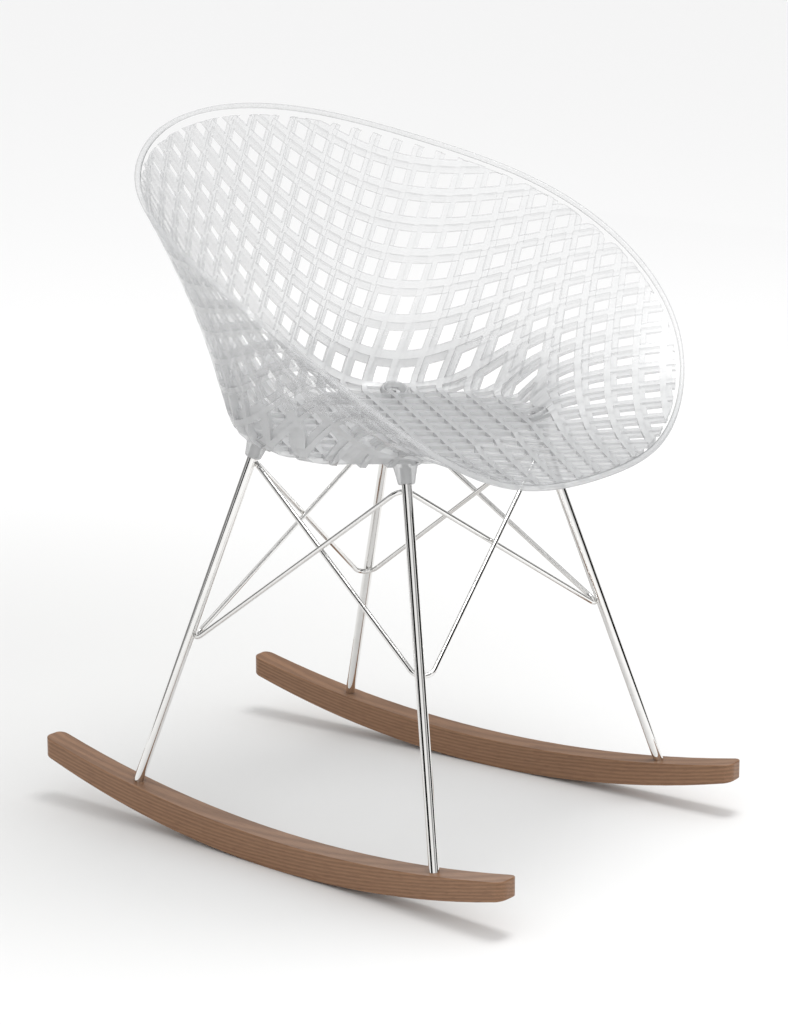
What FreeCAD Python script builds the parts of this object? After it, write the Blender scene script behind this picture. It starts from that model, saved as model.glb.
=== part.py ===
import FreeCAD, Part
import math
import os

# Moulded bucket rocking chair on four rod legs and two wooden runners.
# Millimetres, +Z up, the sitter faces -Y, the floor is Z = 0 and the origin is under the middle of the chair.

Vector = FreeCAD.Vector

# Seat shell
RIM = [(0, 230, 762), (120, 208, 750), (221, 145, 718), (286, 47, 680), (309, -63, 631),
       (290, -165, 565), (227, -238, 490), (122, -279, 441), (0, -295, 434)]
SEAT_CENTRE = Vector(0, 11, 445)
FLAT_SHARE = 0.35
SEAT_WALL = 8.0
BACK_RIM_WALL = 4.0
FRONT_RIM_WALL = 7.0
BACK_BEND = (0.546, 1.10, 0.751)
FRONT_BEND = (0.80, 1.037, 0.78)
SECTIONS = 64
STEPS = 12
TOLERANCE = 1e-4

# Band round the rim, which stands out from the wall
BAND_DEPTH = 10.0
BAND_WIDTH = 7.0
BAND_STEP = 1.0
BAND_CROWN = 1.5
BAND_ARC_STEPS = 4

# Runners
CONTACT_Y = -16.0
RUNNER_HALF_SPACING = 200.9
RUNNER_TOE = 0.0524
RUNNER_WIDTH = 29.0
RUNNER_REAR = 340.0
RUNNER_FRONT = -308.0
SOLE_RADIUS = 1150.0
CROWN_RADIUS = 1488.0
CROWN_HEIGHT = 32.0
CROWN_SHIFT = -7.0
RUNNER_END_ROUND = 10.0
RUNNER_EDGE_ROUND = 1.2

# Legs, from the runner's top face to the mouth of the boss
REAR_FOOT_Y = 191.6
FRONT_FOOT_Y = -225.7
REAR_TOP = Vector(122.3, 79.9, 416.3)
FRONT_TOP = Vector(123.0, -124.2, 418.3)
LEG_RADIUS = 5.5
FOOT_DEPTH = 10.0
TOP_DEPTH = 17.0

# Bosses under the shell and the screws that hold the legs in them
BOSS_MOUTH_RADIUS = 9.0
BOSS_ROOT_RADIUS = 16.0
BOSS_ROOT_Z = 444.5
BOSS_WEB = 6.0
RECESS_RADIUS = 12.0
RECESS_REACH = 30.0
THREAD_RADIUS = 3.0
THREAD_DEPTH = 20.0
WASHER_RADIUS = 9.0
WASHER_HOLE_RADIUS = 3.3
WASHER_THICKNESS = 1.6
PAN_HEAD_RADIUS = 6.5
PAN_HEAD_HEIGHT = 4.0
HEX_ACROSS_FLATS = 4.0
HEX_DEPTH = 2.4
SEAT_SCREW_GRIP = 14.0

# Screws that hold the runners to the legs
RUNNER_SCREW_WOOD = 9.0
RUNNER_SCREW_GRIP = 12.0
CAP_HEAD_RADIUS = 5.0
CAP_HEAD_HEIGHT = 5.0
COUNTERBORE_RADIUS = 6.0
COUNTERBORE_REACH = 30.0
CLEARANCE_HOLE_RADIUS = 3.3

# Brace rods
BRACE_RADIUS = 2.75
BRACE_BEND = 14.0
BRACE_HIGH = 0.977
BRACE_LOW_REAR = 0.452
BRACE_LOW_FRONT = 0.495
BRACE_NEAR = 2.2
BRACE_FAR = 7.95
WELD_RADIUS = 2.4


def rim_curve():
    left = [Vector(-x, y, z) for x, y, z in reversed(RIM[1:-1])]
    right = [Vector(*point) for point in RIM]
    curve = Part.BSplineCurve()
    curve.interpolate(Points=right + left, PeriodicFlag=True)
    return curve


def blend(back, front, share):
    return back + (front - back) * share


def front_share(rim):
    """0 at the top of the back, 1 at the front lip."""
    return (RIM[0][1] - rim.y) / (RIM[0][1] - RIM[-1][1])


def wall_point(rim, step):
    """A point on the sitting face: step 0 is the edge of the flat seat, step 1 is the rim."""
    alpha, beta, gamma = [blend(b, f, front_share(rim)) for b, f in zip(BACK_BEND, FRONT_BEND)]
    controls = [(FLAT_SHARE, 0.0), (gamma, 0.0), (1 - alpha, 1 - beta), (1.0, 1.0)]
    weights = [(1 - step) ** 3, 3 * step * (1 - step) ** 2, 3 * step ** 2 * (1 - step), step ** 3]
    reach = sum(w * c[0] for w, c in zip(weights, controls))
    rise = sum(w * c[1] for w, c in zip(weights, controls))
    offset = rim - SEAT_CENTRE
    return SEAT_CENTRE + Vector(offset.x * reach, offset.y * reach, offset.z * rise)


def wall_normal(curve, turn, step):
    """The unit normal that points out of the bowl."""
    small = 1e-4
    step = min(max(step, small), 1 - small)
    first, last = curve.FirstParameter, curve.LastParameter
    span = (last - first) * small
    here = curve.value(turn)
    there = curve.value(first + (turn + span - first) % (last - first))
    along = wall_point(there, step) - wall_point(here, step)
    up = wall_point(here, step + small) - wall_point(here, step - small)
    return up.cross(along).normalize()


def step_below_rim(rim, drop):
    """The step at a distance down the wall from the rim."""
    small = 1e-3
    rate = (wall_point(rim, 1.0) - wall_point(rim, 1.0 - small)).Length / small
    return 1.0 - drop / rate


def shell_section(curve, turn):
    """Control points up the sitting face, over the rim, down the deep band and down the wall's outer face."""
    rim = curve.value(turn)
    steps = [k / STEPS for k in range(STEPS + 1)]
    rim_wall = blend(BACK_RIM_WALL, FRONT_RIM_WALL, front_share(rim))
    inner = [wall_point(rim, s) for s in steps]
    places = [(s, blend(SEAT_WALL, rim_wall, s)) for s in steps[:-1]]
    places.append((step_below_rim(rim, BAND_WIDTH + BAND_STEP), rim_wall))
    places += [(step_below_rim(rim, drop), BAND_DEPTH) for drop in (BAND_WIDTH, BAND_WIDTH / 2, 0.0)]
    outer = [wall_point(rim, s) + wall_normal(curve, turn, s) * depth for s, depth in places]
    across = (outer[-1] - inner[-1]).normalize()
    up = (inner[-1] - inner[-2]).normalize()
    middle = (inner[-1] + outer[-1]) / 2
    arc = []
    for k in range(1, BAND_ARC_STEPS):
        angle = math.pi * k / BAND_ARC_STEPS
        arc.append(middle + up * (BAND_CROWN * math.sin(angle)) - across * (BAND_DEPTH / 2 * math.cos(angle)))
    return inner + arc + outer[::-1]


def bowl():
    """One smooth surface with a section at each of SECTIONS turns, closed by two flat seat faces."""
    curve = rim_curve()
    first, last = curve.FirstParameter, curve.LastParameter
    turns = [first + (last - first) * k / SECTIONS for k in range(SECTIONS)]
    poles = [shell_section(curve, turn) for turn in turns]
    degree = 3
    spans = len(poles[0]) - degree
    surface = Part.BSplineSurface()
    surface.buildFromPolesMultsKnots(
        poles, [1] * (SECTIONS + 1), [degree + 1] + [1] * (spans - 1) + [degree + 1],
        [float(k) for k in range(SECTIONS + 1)], [float(k) for k in range(spans + 1)],
        True, False, degree, degree)
    wall = surface.toShape()
    rims = [Part.Wire([e]) for e in wall.Edges if e.isClosed()]
    caps = [Part.Face(wire) for wire in rims]
    skin = Part.Compound([wall] + caps)
    skin.sewShape()
    solid = Part.Solid(skin.Shells[0])
    solid.fixTolerance(TOLERANCE)
    return solid


def mirrored(point, side):
    return Vector(point.x * side, point.y, point.z)


def runner_x(y):
    return RUNNER_HALF_SPACING - RUNNER_TOE * (y - CONTACT_Y)


def crown_z(y):
    run = y - CONTACT_Y - CROWN_SHIFT
    return CROWN_HEIGHT + CROWN_RADIUS - math.sqrt(CROWN_RADIUS ** 2 - run ** 2)


def sole_z(y):
    return SOLE_RADIUS - math.sqrt(SOLE_RADIUS ** 2 - (y - CONTACT_Y) ** 2)


class Leg:
    """One leg: its foot on the runner, its mouth in the boss, and the line through both."""

    def __init__(self, end, side):
        foot_y = REAR_FOOT_Y if end == "rear" else FRONT_FOOT_Y
        self.foot = Vector(runner_x(foot_y) * side, foot_y, crown_z(foot_y))
        self.mouth = mirrored(REAR_TOP if end == "rear" else FRONT_TOP, side)
        self.up = (self.mouth - self.foot).normalize()
        self.top = self.mouth + self.up * TOP_DEPTH
        self.bottom = self.foot - self.up * FOOT_DEPTH
        self.name = end + ("_left" if side > 0 else "_right")
        self.end = end
        self.side = side

    def at(self, share):
        return self.foot + (self.mouth - self.foot) * share

    def rod(self, start, radius, length):
        return Part.makeCylinder(radius, length, start, self.up)


def legs():
    return [Leg(end, side) for end in ("front", "rear") for side in (1, -1)]


def leg_rod(leg):
    rod = leg.rod(leg.bottom, LEG_RADIUS, (leg.top - leg.bottom).Length)
    rod = rod.cut(leg.rod(leg.top - leg.up * THREAD_DEPTH, THREAD_RADIUS, THREAD_DEPTH))
    return rod.cut(leg.rod(leg.bottom, THREAD_RADIUS, THREAD_DEPTH))


def circle_at(centre, radius):
    return Part.Wire([Part.Circle(centre, Vector(0, 0, 1), radius).toShape()])


def boss(leg):
    root = leg.mouth + leg.up * ((BOSS_ROOT_Z - leg.mouth.z) / leg.up.z)
    return Part.makeLoft([circle_at(leg.mouth, BOSS_MOUTH_RADIUS), circle_at(root, BOSS_ROOT_RADIUS)], True)


def seat_shell():
    shell = bowl().fuse([boss(leg) for leg in legs()])
    for leg in legs():
        floor = leg.top + leg.up * BOSS_WEB
        shell = shell.cut(leg.rod(leg.mouth - leg.up * TOP_DEPTH, LEG_RADIUS, 2 * TOP_DEPTH))
        shell = shell.cut(leg.rod(leg.top, WASHER_HOLE_RADIUS, BOSS_WEB))
        shell = shell.cut(leg.rod(floor, RECESS_RADIUS, RECESS_REACH))
    return shell


def hex_socket(leg, face, direction):
    corner = HEX_ACROSS_FLATS / math.sqrt(3)
    across = leg.up.cross(Vector(0, 1, 0)).normalize()
    other = leg.up.cross(across)
    points = []
    for k in range(7):
        angle = math.radians(60 * k)
        points.append(face + across * (corner * math.cos(angle)) + other * (corner * math.sin(angle)))
    return Part.Face(Part.makePolygon(points)).extrude(leg.up * (HEX_DEPTH * direction))


def seat_washer(leg):
    base = leg.top + leg.up * BOSS_WEB
    ring = leg.rod(base, WASHER_RADIUS, WASHER_THICKNESS)
    return ring.cut(leg.rod(base, WASHER_HOLE_RADIUS, WASHER_THICKNESS))


def seat_screw(leg):
    seat = leg.top + leg.up * (BOSS_WEB + WASHER_THICKNESS)
    tip = leg.top - leg.up * SEAT_SCREW_GRIP
    shank = leg.rod(tip, THREAD_RADIUS, (seat - tip).Length)
    head = leg.rod(seat, PAN_HEAD_RADIUS, PAN_HEAD_HEIGHT)
    screw = shank.fuse(head).removeSplitter()
    return screw.cut(hex_socket(leg, seat + leg.up * PAN_HEAD_HEIGHT, -1))


def runner_screw(leg):
    seat = leg.bottom - leg.up * RUNNER_SCREW_WOOD
    shank = leg.rod(seat, THREAD_RADIUS, RUNNER_SCREW_WOOD + RUNNER_SCREW_GRIP)
    head = leg.rod(seat - leg.up * CAP_HEAD_HEIGHT, CAP_HEAD_RADIUS, CAP_HEAD_HEIGHT)
    screw = shank.fuse(head).removeSplitter()
    return screw.cut(hex_socket(leg, seat - leg.up * CAP_HEAD_HEIGHT, 1))


def runner_blank():
    """The bent runner, upright and straight ahead, with its sole's lowest line at X = 0, Y = CONTACT_Y."""
    rear = CONTACT_Y + RUNNER_REAR
    front = CONTACT_Y + RUNNER_FRONT
    crown_y = CONTACT_Y + CROWN_SHIFT
    side = -RUNNER_WIDTH / 2
    front_low, low, rear_low = [Vector(side, y, sole_z(y)) for y in (front, CONTACT_Y, rear)]
    front_high, high, rear_high = [Vector(side, y, crown_z(y)) for y in (front, crown_y, rear)]
    outline = Part.Wire([
        Part.Arc(front_low, low, rear_low).toShape(),
        Part.LineSegment(rear_low, rear_high).toShape(),
        Part.Arc(rear_high, high, front_high).toShape(),
        Part.LineSegment(front_high, front_low).toShape()])
    blank = Part.Face(outline).extrude(Vector(RUNNER_WIDTH, 0, 0))
    uprights = [e for e in blank.Edges if e.BoundBox.XLength < 1 and e.BoundBox.YLength < 1]
    blank = blank.makeFillet(RUNNER_END_ROUND, uprights)
    lengthwise = [e for e in blank.Edges if e.BoundBox.YLength > RUNNER_REAR]
    return blank.makeFillet(RUNNER_EDGE_ROUND, lengthwise)


def runner(side):
    blank = runner_blank()
    blank.rotate(Vector(0, CONTACT_Y, 0), Vector(0, 0, 1), math.degrees(RUNNER_TOE) * side)
    blank.translate(Vector(RUNNER_HALF_SPACING * side, 0, 0))
    for leg in legs():
        if leg.side != side:
            continue
        seat = leg.bottom - leg.up * RUNNER_SCREW_WOOD
        blank = blank.cut(leg.rod(leg.bottom, LEG_RADIUS, 2 * FOOT_DEPTH))
        blank = blank.cut(leg.rod(seat, CLEARANCE_HOLE_RADIUS, RUNNER_SCREW_WOOD))
        blank = blank.cut(leg.rod(seat - leg.up * COUNTERBORE_REACH, COUNTERBORE_RADIUS, COUNTERBORE_REACH))
    return blank


def brace_stop(leg, high, offset):
    """Where a brace rod's centre line passes the leg, on its inner side."""
    low = BRACE_LOW_REAR if leg.end == "rear" else BRACE_LOW_FRONT
    inward = -1 if leg.end == "rear" else 1
    return leg.at(BRACE_HIGH if high else low) + Vector(-leg.side * offset[0], inward * offset[1], 0)


def bend_corners(stops):
    """Corners moved outward, so that each rounded bend still passes through its stop."""
    corners = []
    for k, stop in enumerate(stops):
        back = (stops[k - 1] - stop).normalize()
        ahead = (stops[(k + 1) % len(stops)] - stop).normalize()
        half = back.getAngle(ahead) / 2
        inward = (back + ahead).normalize()
        corners.append(stop - inward * (BRACE_BEND * (1 / math.sin(half) - 1)))
    return corners


def rod_loop(corners):
    """A closed rod: straight runs joined by tangent bends."""
    ends = []
    solids = []
    for k, corner in enumerate(corners):
        back = (corners[k - 1] - corner).normalize()
        ahead = (corners[(k + 1) % len(corners)] - corner).normalize()
        half = back.getAngle(ahead) / 2
        setback = BRACE_BEND / math.tan(half)
        centre = corner + (back + ahead).normalize() * (BRACE_BEND / math.sin(half))
        start, finish = corner + back * setback, corner + ahead * setback
        disc = Part.Face(Part.Wire([Part.Circle(start, back, BRACE_RADIUS).toShape()]))
        axis = (start - centre).cross(finish - centre)
        solids.append(disc.revolve(centre, axis, 180 - 2 * math.degrees(half)))
        ends.append((start, finish))
    for k, (start, finish) in enumerate(ends):
        after = ends[(k + 1) % len(ends)][0]
        run = after - finish
        solids.append(Part.makeCylinder(BRACE_RADIUS, run.Length, finish, run))
    return solids[0].fuse(solids[1:])


def brace_loop(first_high, offset):
    """One zigzag rod round the base: high on two opposite legs and low on the other two."""
    front_left, front_right, rear_left, rear_right = legs()
    ring = [rear_right, front_right, front_left, rear_left]
    stops = [brace_stop(leg, (k % 2 == 0) == first_high, offset) for k, leg in enumerate(ring)]
    loop = rod_loop(bend_corners(stops))
    for leg, stop in zip(ring, stops):
        foot = leg.at((stop - leg.foot).dot(leg.up) / (leg.mouth - leg.foot).Length)
        touch = foot + (stop - foot).normalize() * LEG_RADIUS
        loop = loop.fuse(Part.makeSphere(WELD_RADIUS, touch))
        loop = loop.cut(leg.rod(leg.bottom, LEG_RADIUS, (leg.top - leg.bottom).Length))
    return loop


def save(name, shape):
    solids = shape.Solids
    if len(solids) == 1:
        shape = solids[0]
    print(name, "valid", shape.isValid(), "solids", len(solids), "cm3", round(shape.Volume / 1000, 1))
    shape.exportStep("parts/" + name + ".step")


def main():
    os.makedirs("parts", exist_ok=True)
    save("seat_shell", seat_shell())
    save("brace_loop_a", brace_loop(True, (BRACE_FAR, BRACE_NEAR)))
    save("brace_loop_b", brace_loop(False, (BRACE_NEAR, BRACE_FAR)))
    save("runner_left", runner(1))
    save("runner_right", runner(-1))
    for leg in legs():
        save("leg_" + leg.name, leg_rod(leg))
        save("seat_screw_" + leg.name, seat_screw(leg))
        save("seat_washer_" + leg.name, seat_washer(leg))
        save("runner_screw_" + leg.name, runner_screw(leg))


main()
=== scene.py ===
import math

import bpy
import numpy as np
from mathutils import Matrix, Vector


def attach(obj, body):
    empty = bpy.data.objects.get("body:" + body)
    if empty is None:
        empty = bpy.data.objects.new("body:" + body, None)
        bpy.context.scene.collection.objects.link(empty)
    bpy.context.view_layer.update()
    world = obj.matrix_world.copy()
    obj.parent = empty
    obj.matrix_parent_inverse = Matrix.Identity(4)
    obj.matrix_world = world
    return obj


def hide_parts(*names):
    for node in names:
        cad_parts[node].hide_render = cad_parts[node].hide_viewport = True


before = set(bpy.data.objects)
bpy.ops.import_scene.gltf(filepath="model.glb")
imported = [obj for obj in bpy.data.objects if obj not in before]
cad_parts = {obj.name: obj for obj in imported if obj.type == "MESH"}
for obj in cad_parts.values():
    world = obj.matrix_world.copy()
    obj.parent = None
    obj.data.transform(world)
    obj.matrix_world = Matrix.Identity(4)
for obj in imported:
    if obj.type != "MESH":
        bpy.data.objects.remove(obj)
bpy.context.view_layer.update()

# View of the photograph, 788 x 1024 pixels
PICTURE_WIDTH = 788
FOCAL_PIXELS = 3321.4
SENSOR = 36.0
TURN = math.radians(-53.126)
LIFT = math.radians(15.443)
DISTANCE = 3.5858
TARGET = Vector((0.0, -0.0158, 0.3372))
CENTRE_DROP_PIXELS = 6.25

# Bucket of the seat, metres
MM = 0.001
RIM = [(0, 230, 762), (120, 208, 750), (221, 145, 718), (286, 47, 680), (309, -63, 631),
       (290, -165, 565), (227, -238, 490), (122, -279, 441), (0, -295, 434)]
SEAT_CENTRE = np.array((0.0, 0.011, 0.445))
FLAT_SHARE = 0.35
BACK_BEND = (0.546, 1.10, 0.751)
FRONT_BEND = (0.80, 1.037, 0.78)

# Weave of the bucket: two families of parallel planes, one the mirror of the other, cut it into strips
WEAVE_BEARING = math.radians(51.0)
WEAVE_TILT = math.radians(24.0)
WEAVE_PITCHES = (0.0270, 0.0247)
WEAVE_STARTS = (0.0128, 0.0115)
WEAVE_FIRST = -18
WEAVE_LAST = 28
STRIP_SHARES = (0.0, 0.21, 0.45, 0.725)
STRIP_KINDS = ("outer", "inner", "gap", "gap")
LAYER_DEPTHS = (0.0, 0.004, 0.006, 0.010)
WEAVE_EDGE = 0.988
RIM_TAPER = (0.6, 1.0)
RIM_DEPTH = 0.0055
RIM_WIDTH = 0.005
SEARCH_REACH = 0.36
SEARCH_ROUNDS = 26

# Studio: a white surround, one overhead light and dark panels that only polished surfaces mirror
FLOOR_SIZE = 14.0
# Painted shade on the floor: its colour turns grey around a place behind and left of the chair and pales
# outwards, standing in for the studio's uneven light.
FLOOR_PAINTED_SHADE = (0.70, 0.70, 0.695, 1)
FLOOR_FAR = (0.925, 0.925, 0.925, 1)
FLOOR_SHADE_CENTRE = (-0.45, 0.30)
FLOOR_PAINTED_SHADE_REACH = 0.2
FLOOR_PAINTED_SHADE_END = 1.7
SKY_STRENGTH = 0.98
KEY_HEIGHT = 3.0
KEY_OFFSET = 0.45
KEY_SIZE = 1.1
KEY_POWER = 38.0
WALL_DISTANCE = 4.0
WALL_HEIGHT = 5.0
STUDIO_WALLS = [(47, 40, 0.01), (-90, 50, 0.01), (105, 60, 0.25), (-38, 30, 0.35), (-150, 60, 0.4)]

# Heights between which the plastic turns from clear to frosted, under the seat
FROST_TOP = 0.550
FROST_BOTTOM = 0.435

# Bosses
BOSS_MOUTH_RADIUS = 0.009
BOSS_ROOT_RADIUS = 0.016
CUP_RADIUS = 0.0135
CUP_WALL = 0.0022
REAR_FOOT = (190.0, 191.6, 47.4)
REAR_TOP = (122.3, 79.9, 416.3)
FRONT_FOOT = (211.9, -225.7, 46.6)
FRONT_TOP = (123.0, -124.2, 418.3)


def rim_waves():
    """The rim as a closed curve of sines and cosines through its evenly spaced points."""
    half = np.array(RIM, float) * MM
    left = half[1:-1][::-1] * (-1, 1, 1)
    return np.fft.rfft(np.vstack([half, left]), axis=0) / (2 * len(RIM) - 2)


WAVES = rim_waves()


def rim_at(turn):
    """Points of the rim, turn 0 at the top of the back and pi at the front lip."""
    turn = np.asarray(turn, float)
    total = np.zeros(turn.shape + (3,))
    last = len(WAVES) - 1
    for k, wave in enumerate(WAVES):
        weight = 1.0 if k in (0, last) else 2.0
        total += weight * (np.cos(k * turn)[..., None] * wave.real - np.sin(k * turn)[..., None] * wave.imag)
    return total


def front_share(rim):
    return (0.230 - rim[..., 1]) / 0.525


def wall_curve(share, step):
    """How far out and how far up the wall is, from the flat seat (step 0) to the rim (step 1)."""
    alpha, beta, gamma = [b + (f - b) * share for b, f in zip(BACK_BEND, FRONT_BEND)]
    weights = ((1 - step) ** 3, 3 * step * (1 - step) ** 2, 3 * step ** 2 * (1 - step), step ** 3)
    reach = weights[0] * FLAT_SHARE + weights[1] * gamma + weights[2] * (1 - alpha) + weights[3]
    rise = weights[2] * (1 - beta) + weights[3]
    return reach, rise


def sitting_face(turn, step):
    """Points of the sitting face. Steps below 0 lie on the flat seat, down to -1 at its centre."""
    turn, step = np.broadcast_arrays(np.asarray(turn, float), np.asarray(step, float))
    rim = rim_at(turn)
    wall = np.maximum(step, 0.0)
    reach, rise = wall_curve(front_share(rim), wall)
    reach = np.where(step < 0, FLAT_SHARE * (1 + step), reach)
    offset = rim - SEAT_CENTRE
    scale = np.stack([reach, reach, rise], axis=-1)
    return SEAT_CENTRE + offset * scale


def face_normal(turn, step):
    """Unit normals that point out of the bucket."""
    small = 1e-4
    along = sitting_face(turn + small, step) - sitting_face(turn - small, step)
    up = sitting_face(turn, step + small) - sitting_face(turn, step - small)
    normal = np.cross(along, up)
    normal /= np.maximum(np.linalg.norm(normal, axis=-1, keepdims=True), 1e-12)
    sign = np.where(normal[..., 2:3] > 0, -1.0, 1.0)
    return normal * sign


class Bucket:
    """The sitting face as a height over the plan, so that lattice lines can be laid on it."""

    TURNS = 361
    STEPS = 220
    TOP_STEP = 1.6

    def __init__(self):
        self.turns = np.linspace(0, 2 * math.pi, self.TURNS)
        rims = rim_at(self.turns) - SEAT_CENTRE
        self.bearing = np.unwrap(np.arctan2(rims[:, 0], rims[:, 1]))
        self.reach = np.hypot(rims[:, 0], rims[:, 1])
        self.rise = rims[:, 2]
        self.steps = np.linspace(0, self.TOP_STEP, self.STEPS)

    def turn_and_reach(self, x, y):
        bearing = np.arctan2(x, y - SEAT_CENTRE[1]) % (2 * math.pi)
        turn = np.interp(bearing, self.bearing, self.turns)
        reach = np.hypot(x, y - SEAT_CENTRE[1]) / np.interp(turn, self.turns, self.reach)
        return turn, reach

    def step_at(self, x, y):
        """The turn and step of the face above or below a place in plan."""
        turn, reach = self.turn_and_reach(x, y)
        share = front_share(rim_at(turn))
        low = np.zeros_like(turn)
        high = np.full_like(turn, self.TOP_STEP)
        for _ in range(SEARCH_ROUNDS):
            middle = (low + high) / 2
            over = wall_curve(share, middle)[0] > reach
            high = np.where(over, middle, high)
            low = np.where(over, low, middle)
        step = np.where(reach < FLAT_SHARE, reach / FLAT_SHARE - 1, (low + high) / 2)
        return turn, step

    def height(self, x, y):
        turn, step = self.step_at(x, y)
        rim = rim_at(turn)
        rise = wall_curve(front_share(rim), np.maximum(step, 0))[1]
        return SEAT_CENTRE[2] + rise * (rim[..., 2] - SEAT_CENTRE[2])


BUCKET = Bucket()


def lay_on_bucket(first, second):
    """Turn and step where a plane of each family meets on the sitting face."""
    x = (first - second) / (2 * math.sin(WEAVE_BEARING) * math.cos(WEAVE_TILT))
    level = (first + second) / (2 * math.sin(WEAVE_TILT))
    fall = math.cos(WEAVE_BEARING) / math.tan(WEAVE_TILT)
    low = np.full(x.shape, -SEARCH_REACH)
    high = np.full(x.shape, SEARCH_REACH)
    for _ in range(SEARCH_ROUNDS):
        y = (low + high) / 2
        inside = level - fall * y > BUCKET.height(x, y)
        low = np.where(inside, y, low)
        high = np.where(inside, high, y)
    return BUCKET.step_at(x, y)


def weave_planes(start, pitch):
    """The distance of each plane from the origin, and the kind of strip that begins there."""
    planes = [(start + (k + share) * pitch, kind)
              for k in range(WEAVE_FIRST, WEAVE_LAST) for share, kind in zip(STRIP_SHARES, STRIP_KINDS)]
    return np.array([p[0] for p in planes]), np.array([p[1] for p in planes[:-1]])


def lattice_mesh():
    """Strips in both directions: one half of each is near the sitter, the other near the outside."""
    families = [weave_planes(start, pitch) for start, pitch in zip(WEAVE_STARTS, WEAVE_PITCHES)]
    first, second = np.meshgrid(*[planes for planes, _ in families], indexing="ij")
    down, across = families[0][1][:, None], families[1][1][None, :]
    turn, step = lay_on_bucket(first, second)
    within = step <= WEAVE_EDGE
    step = np.minimum(step, WEAVE_EDGE)
    face = sitting_face(turn, step)
    normal = face_normal(turn, step)
    thin = np.interp(step, RIM_TAPER, (1.0, RIM_DEPTH / LAYER_DEPTHS[-1]))[..., None]
    points = np.stack([face + normal * thin * depth for depth in LAYER_DEPTHS], axis=2)
    corners = within[:-1, :-1].astype(int) + within[1:, :-1] + within[:-1, 1:] + within[1:, 1:]
    used = corners >= 1
    inner = (down == "inner") | (across == "inner")
    outer = (down == "outer") | (across == "outer")
    solid = np.stack([used & inner, used & (inner | outer), used & outer], axis=2)
    return blocks_mesh(points, solid)


def blocks_mesh(points, solid):
    """The outside faces of the filled blocks of a bent grid."""
    shape = points.shape[:3]
    index = np.arange(shape[0] * shape[1] * shape[2]).reshape(shape)
    padded = np.pad(solid, 1)
    quads = []
    for axis in range(3):
        for side in (0, 1):
            shift = [slice(1, -1)] * 3
            shift[axis] = slice(2, None) if side else slice(0, -2)
            open_side = solid & ~padded[tuple(shift)]
            cells = np.argwhere(open_side)
            others = [a for a in range(3) if a != axis]
            offsets = np.zeros((4, 3), int)
            offsets[:, axis] = side
            offsets[1, others[0]] = offsets[2, others[0]] = 1
            offsets[2, others[1]] = offsets[3, others[1]] = 1
            order = [0, 1, 2, 3] if (side == 1) != (axis == 1) else [3, 2, 1, 0]
            corner = cells[:, None, :] + offsets[order][None]
            quads.append(index[corner[..., 0], corner[..., 1], corner[..., 2]])
    quads = np.vstack(quads)
    used, quads = np.unique(quads, return_inverse=True)
    vertices = points.reshape(-1, 3)[used]
    return vertices, quads.reshape(-1, 4)


def new_piece(name, vertices, faces, finish, smooth=False):
    mesh = bpy.data.meshes.new(name)
    mesh.from_pydata([tuple(v) for v in vertices], [], [tuple(int(i) for i in f) for f in faces])
    mesh.update()
    piece = bpy.data.objects.new(name, mesh)
    bpy.context.scene.collection.objects.link(piece)
    mesh.materials.append(finish)
    mesh.shade_smooth() if smooth else mesh.shade_flat()
    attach(piece, "root")
    return piece


def swept_ring(centres, frames, section):
    """A closed tube: the section's points are set out in each frame's two directions."""
    count, sides = len(centres), len(section)
    vertices = [c + a * u + b * v for c, (a, b) in zip(centres, frames) for u, v in section]
    faces = []
    for i in range(count):
        j = (i + 1) % count
        for k in range(sides):
            m = (k + 1) % sides
            faces.append((i * sides + k, j * sides + k, j * sides + m, i * sides + m))
    return vertices, faces


def rim_band(finish):
    """The plain band along the edge, with a rounded outer bead."""
    turns = np.linspace(0, 2 * math.pi, 361)[:-1]
    edge = sitting_face(turns, np.ones_like(turns))
    below = sitting_face(turns, np.full_like(turns, 0.97))
    out = face_normal(turns, np.full_like(turns, 0.99))
    up = edge - below
    up -= out * np.sum(up * out, axis=1, keepdims=True)
    up /= np.linalg.norm(up, axis=1, keepdims=True)
    section = [(-RIM_WIDTH, 0.0), (-0.001, 0.0), (0.0, 0.001), (0.0, RIM_DEPTH - 0.001),
               (-0.001, RIM_DEPTH), (-RIM_WIDTH, RIM_DEPTH)]
    vertices, faces = swept_ring(edge, list(zip(up, out)), section)
    return new_piece("rim_band", vertices, faces, finish, smooth=True)


def leg_lines():
    """Foot and mouth of each leg, in metres."""
    lines = {}
    for end, foot, top in (("rear", REAR_FOOT, REAR_TOP), ("front", FRONT_FOOT, FRONT_TOP)):
        for side, sign in (("left", 1), ("right", -1)):
            lines[end + "_" + side] = [Vector((p[0] * sign, p[1], p[2])) * MM for p in (foot, top)]
    return lines


def turned(name, profile, base, axis, finish, sides=48):
    """A turned piece: the profile gives radius and height along the axis, closed on itself."""
    frame_turn = axis.to_track_quat("Z", "Y").to_matrix()
    vertices = []
    for radius, height in profile:
        for k in range(sides):
            angle = 2 * math.pi * k / sides
            place = Vector((radius * math.cos(angle), radius * math.sin(angle), height))
            vertices.append(base + frame_turn @ place)
    faces = []
    count = len(profile)
    for i in range(count):
        j = (i + 1) % count
        for k in range(sides):
            m = (k + 1) % sides
            faces.append((i * sides + k, i * sides + m, j * sides + m, j * sides + k))
    piece = new_piece(name, vertices, faces, finish, smooth=True)
    return piece


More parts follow.
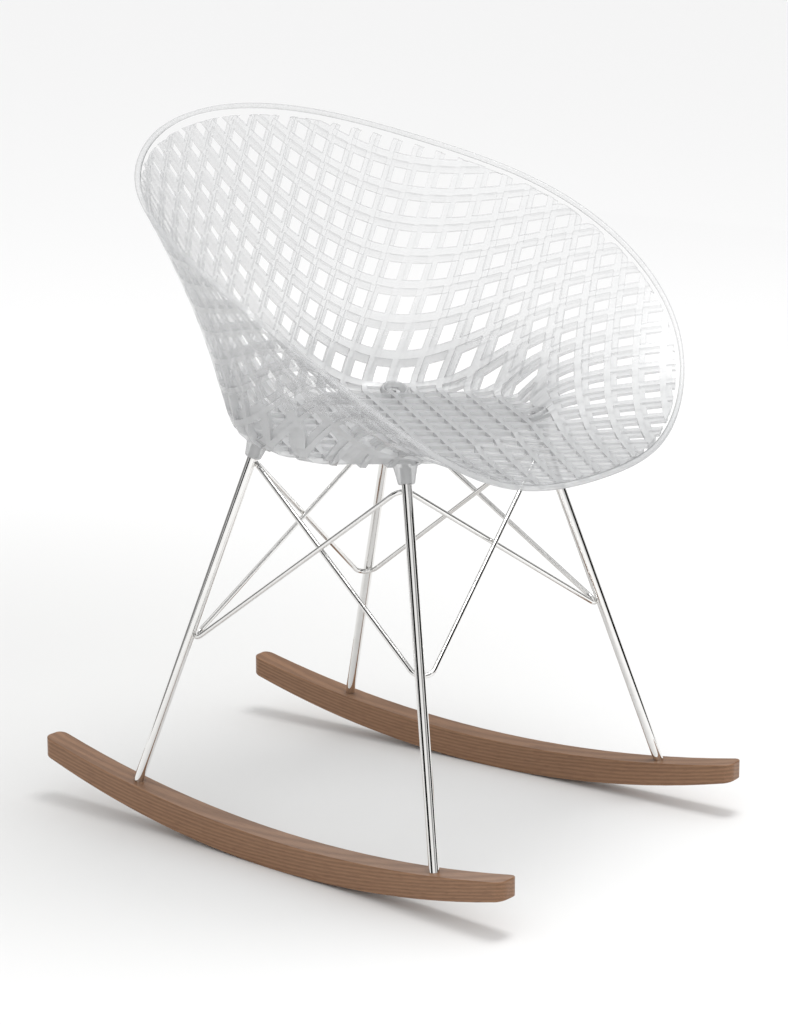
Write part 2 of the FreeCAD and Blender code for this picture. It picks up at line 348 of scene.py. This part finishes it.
def bosses(finish):
    """The socket under the shell for each leg, and the cup for its screw, as one turned piece."""
    pieces = []
    for name, (foot, mouth) in leg_lines().items():
        up = (mouth - foot).normalized()
        rise = (0.447 - mouth.z) / up.z
        floor = 0.023
        profile = [(0.0057, 0.0), (BOSS_MOUTH_RADIUS - 0.001, 0.0), (BOSS_MOUTH_RADIUS, 0.001),
                   (0.0105, 0.009), (0.0135, rise - 0.009), (BOSS_ROOT_RADIUS, rise - 0.004),
                   (0.0145, rise + 0.001), (CUP_RADIUS, rise + 0.0015), (0.012, rise + 0.001),
                   (0.0118, floor), (0.0034, floor), (0.0034, 0.0172), (0.0057, 0.0172)]
        pieces.append(turned("boss_" + name, profile, mouth, up, finish))
    return pieces


class Signal:
    """A socket of a material's nodes that can be used in sums."""

    def __init__(self, finish, socket):
        self.finish = finish
        self.socket = socket

    def _sum(self, operation, first, second):
        return self.finish.add("ShaderNodeMath", {"operation": operation}, {0: first, 1: second})

    def __add__(self, other):
        return self._sum("ADD", self, other)

    def __radd__(self, other):
        return self._sum("ADD", other, self)

    def __sub__(self, other):
        return self._sum("SUBTRACT", self, other)

    def __rsub__(self, other):
        return self._sum("SUBTRACT", other, self)

    def __mul__(self, other):
        return self._sum("MULTIPLY", self, other)

    def __rmul__(self, other):
        return self._sum("MULTIPLY", other, self)

    def __pow__(self, other):
        return self._sum("POWER", self, other)


class Finish:
    """One material: a Principled shader and the nodes that feed it."""

    def __init__(self, name, **constants):
        self.material = bpy.data.materials.new(name)
        self.material.use_nodes = True
        self.tree = self.material.node_tree
        self.shader = self.tree.nodes["Principled BSDF"]
        for key, value in constants.items():
            self.shader.inputs[key.replace("_", " ")].default_value = value

    def add(self, kind, settings, inputs, output=0):
        node = self.tree.nodes.new(kind)
        for key, value in settings.items():
            setattr(node, key, value)
        for key, value in inputs.items():
            if isinstance(value, Signal):
                self.tree.links.new(value.socket, node.inputs[key])
            else:
                node.inputs[key].default_value = value
        return Signal(self, node.outputs[output])

    def place(self):
        return self.add("ShaderNodeTexCoord", {}, {}, "Object")

    def stretched(self, scale):
        return self.add("ShaderNodeVectorMath", {"operation": "MULTIPLY"}, {0: self.place(), 1: scale})

    def noise(self, where, scale, detail=3.0, roughness=0.5):
        return self.add("ShaderNodeTexNoise", {}, {"Vector": where, "Scale": scale, "Detail": detail,
                                                  "Roughness": roughness})

    def mixed(self, share, first, second):
        return self.add("ShaderNodeMix", {"data_type": "RGBA"}, {0: share, 6: first, 7: second}, 2)

    def feed(self, name, signal):
        self.tree.links.new(signal.socket, self.shader.inputs[name])

    def bump(self, height, strength, distance):
        self.feed("Normal", self.add("ShaderNodeBump", {}, {"Height": height, "Strength": strength,
                                                             "Distance": distance}))


def clear_plastic():
    finish = Finish("clear_moulded_plastic", Roughness=0.12, IOR=1.49)
    # Painted shade: faces seen edge-on get a dark grey base colour and more opacity, standing in for dark
    # surroundings mirrored in the strips' sides.
    edge = finish.add("ShaderNodeLayerWeight", {}, {"Blend": 0.35}, "Facing")
    cloud = finish.noise(finish.place(), 60.0)
    finish.feed("Base Color", finish.mixed(edge, (0.72, 0.725, 0.73, 1), (0.27, 0.275, 0.28, 1)))
    finish.feed("Roughness", 0.06 + cloud * 0.14)
    level = finish.add("ShaderNodeSeparateXYZ", {}, {0: finish.place()}, 2)
    floor = finish.add("ShaderNodeMapRange", {"interpolation_type": "SMOOTHSTEP"},
                       {0: level, 1: FROST_TOP, 2: FROST_BOTTOM, 3: 0.0, 4: 1.0})
    finish.feed("Alpha", 0.15 + cloud * 0.10 + edge * edge * 0.60 + floor * 0.30)
    finish.bump(finish.noise(finish.place(), 260.0, 2.0), 0.15, 0.0004)
    return finish.material


def chromed_steel():
    finish = Finish("chromed_steel", Metallic=1.0)
    cloud = finish.noise(finish.place(), 90.0)
    finish.feed("Base Color", finish.mixed(cloud, (0.80, 0.79, 0.77, 1), (0.88, 0.875, 0.865, 1)))
    finish.feed("Roughness", 0.035 + cloud * 0.04)
    return finish.material


def zinc_plate():
    finish = Finish("zinc_plated_steel", Metallic=1.0)
    cloud = finish.noise(finish.place(), 400.0)
    finish.feed("Base Color", finish.mixed(cloud, (0.50, 0.50, 0.50, 1), (0.68, 0.68, 0.69, 1)))
    finish.feed("Roughness", 0.28 + cloud * 0.2)
    return finish.material


def stained_ash():
    finish = Finish("stained_ash", IOR=1.45)
    apart = finish.add("ShaderNodeSeparateXYZ", {}, {0: finish.place()}, 0)
    node = apart.socket.node
    x, y, z = [Signal(finish, node.outputs[k]) for k in range(3)]
    bent = z - (y + 0.016) * (y + 0.016) * 0.40 + y * 0.03
    along = finish.add("ShaderNodeCombineXYZ", {}, {0: x * 3.0, 1: y * 0.35, 2: bent * 3.0})
    wander = finish.noise(along, 9.0, 3.0, 0.55)
    rings = finish.add("ShaderNodeMath", {"operation": "SINE"},
                       {0: bent * 1500.0 + x * 350.0 + wander * 16.0}) * 0.5 + 0.5
    streaks = finish.noise(finish.add("ShaderNodeCombineXYZ", {}, {0: x * 60, 1: y * 3.0, 2: bent * 60}),
                           12.0, 5.0, 0.65)
    pores = finish.noise(finish.add("ShaderNodeCombineXYZ", {}, {0: x * 110, 1: y * 7.0, 2: bent * 110}),
                         10.0, 2.0, 0.5)
    tone = rings * 0.35 + streaks * 0.55 + wander * 0.25 - 0.08
    early = finish.mixed(tone, (0.135, 0.066, 0.032, 1), (0.34, 0.185, 0.100, 1))
    pore = finish.add("ShaderNodeMapRange", {}, {0: pores, 1: 0.34, 2: 0.46, 3: 0.30, 4: 0.0})
    finish.feed("Base Color", finish.mixed(pore, early, (0.10, 0.042, 0.022, 1)))
    finish.feed("Roughness", 0.42 - tone * 0.10)
    finish.bump(streaks * 0.6 + pores * 0.4, 0.25, 0.0006)
    return finish.material


def pale_floor():
    finish = Finish("pale_studio_floor", Roughness=0.9)
    # Painted shade: the floor's colour is darker around a place behind and left of the chair and pales with
    # distance, standing in for the studio's uneven light.
    right = Vector((math.cos(TURN), math.sin(TURN), 0))
    behind = Vector((-math.sin(TURN), math.cos(TURN), 0))
    painted_shade_centre = right * FLOOR_SHADE_CENTRE[0] + behind * FLOOR_SHADE_CENTRE[1]
    away = finish.add("ShaderNodeVectorMath", {"operation": "DISTANCE"}, {0: finish.place(), 1: painted_shade_centre}, 1)
    rise = finish.add("ShaderNodeMapRange", {"interpolation_type": "SMOOTHSTEP"},
                      {0: away, 1: FLOOR_PAINTED_SHADE_REACH, 2: FLOOR_PAINTED_SHADE_END, 3: 0.0, 4: 1.0})
    finish.feed("Base Color", finish.mixed(rise, FLOOR_PAINTED_SHADE, FLOOR_FAR))
    size = FLOOR_SIZE
    mesh = bpy.data.meshes.new("studio_floor")
    mesh.from_pydata([(-size, -size, 0), (size, -size, 0), (size, size, 0), (-size, size, 0)], [], [(0, 1, 2, 3)])
    floor = bpy.data.objects.new("studio_floor", mesh)
    mesh.materials.append(finish.material)
    bpy.context.scene.collection.objects.link(floor)


def photograph_camera():
    back = Vector((math.sin(TURN) * math.cos(LIFT), -math.cos(TURN) * math.cos(LIFT), math.sin(LIFT)))
    data = bpy.data.cameras.new("view")
    data.sensor_fit = "HORIZONTAL"
    data.sensor_width = SENSOR
    data.lens = FOCAL_PIXELS / PICTURE_WIDTH * SENSOR
    data.shift_y = CENTRE_DROP_PIXELS / PICTURE_WIDTH
    data.clip_end = 100.0
    camera = bpy.data.objects.new("view", data)
    camera.matrix_world = Matrix.Translation(TARGET + back * DISTANCE) @ back.to_track_quat("Z", "Y").to_matrix().to_4x4()
    bpy.context.scene.collection.objects.link(camera)
    bpy.context.scene.camera = camera


def soft_light(name, place, aim, size, power):
    data = bpy.data.lights.new(name, "AREA")
    data.shape = "DISK"
    data.size = size
    data.energy = power
    light = bpy.data.objects.new(name, data)
    direction = Vector(aim) - Vector(place)
    light.matrix_world = Matrix.Translation(place) @ direction.to_track_quat("-Z", "Y").to_matrix().to_4x4()
    bpy.context.scene.collection.objects.link(light)


def studio_wall(bearing, width, tone):
    """A tall panel that only polished surfaces mirror, at a bearing to the left of the photographer."""
    heading = TURN - math.radians(bearing)
    half = math.radians(width) / 2
    corners = []
    for side in (-half, half):
        foot = Vector((math.sin(heading + side), -math.cos(heading + side), 0)) * WALL_DISTANCE
        corners += [foot, foot + Vector((0, 0, WALL_HEIGHT))]
    mesh = bpy.data.meshes.new("studio_wall")
    mesh.from_pydata([tuple(c) for c in corners], [], [(0, 1, 3, 2)])
    finish = Finish("studio_wall", Base_Color=(0, 0, 0, 1), Roughness=1.0, Specular_IOR_Level=0.0,
                    Emission_Color=(tone, tone, tone, 1), Emission_Strength=1.0)
    mesh.materials.append(finish.material)
    wall = bpy.data.objects.new("studio_wall", mesh)
    wall.visible_camera = False
    wall.visible_diffuse = False
    wall.visible_transmission = False
    wall.visible_shadow = False
    bpy.context.scene.collection.objects.link(wall)


def studio():
    world = bpy.data.worlds.new("studio")
    world.use_nodes = True
    bpy.context.scene.world = world
    shade = world.node_tree.nodes["Background"]
    shade.inputs["Color"].default_value = (1.0, 1.0, 1.0, 1)
    shade.inputs["Strength"].default_value = SKY_STRENGTH
    for bearing, width, tone in STUDIO_WALLS:
        studio_wall(bearing, width, tone)
    right = Vector((math.cos(TURN), math.sin(TURN), 0))
    soft_light("overhead", right * KEY_OFFSET + Vector((0, 0, KEY_HEIGHT)), (0, 0, 0), KEY_SIZE, KEY_POWER)
    view = bpy.context.scene.view_settings
    view.view_transform = "Standard"
    bpy.context.scene.cycles.max_bounces = 40
    bpy.context.scene.cycles.transmission_bounces = 36
    bpy.context.scene.cycles.transparent_max_bounces = 96
    bpy.context.scene.cycles.glossy_bounces = 8
    bpy.context.scene.cycles.caustics_reflective = False
    bpy.context.scene.cycles.caustics_refractive = True


def dress_frame():
    finishes = {"leg_": chromed_steel(), "brace_": None, "runner_": stained_ash(), "screw": zinc_plate()}
    finishes["brace_"] = finishes["leg_"]
    for name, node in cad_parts.items():
        if "screw" in name or "washer" in name:
            finish = finishes["screw"]
        elif name.startswith("runner_"):
            finish = finishes["runner_"]
        else:
            finish = finishes["leg_"]
        node.data.materials.clear()
        node.data.materials.append(finish)


def main():
    photograph_camera()
    studio()
    pale_floor()
    dress_frame()
    plastic = clear_plastic()
    vertices, faces = lattice_mesh()
    print("lattice", len(vertices), "points", len(faces), "faces")
    lattice = new_piece("seat_lattice", vertices, faces, plastic)
    rim_band(plastic)
    bosses(plastic)
    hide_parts("seat_shell")


main()
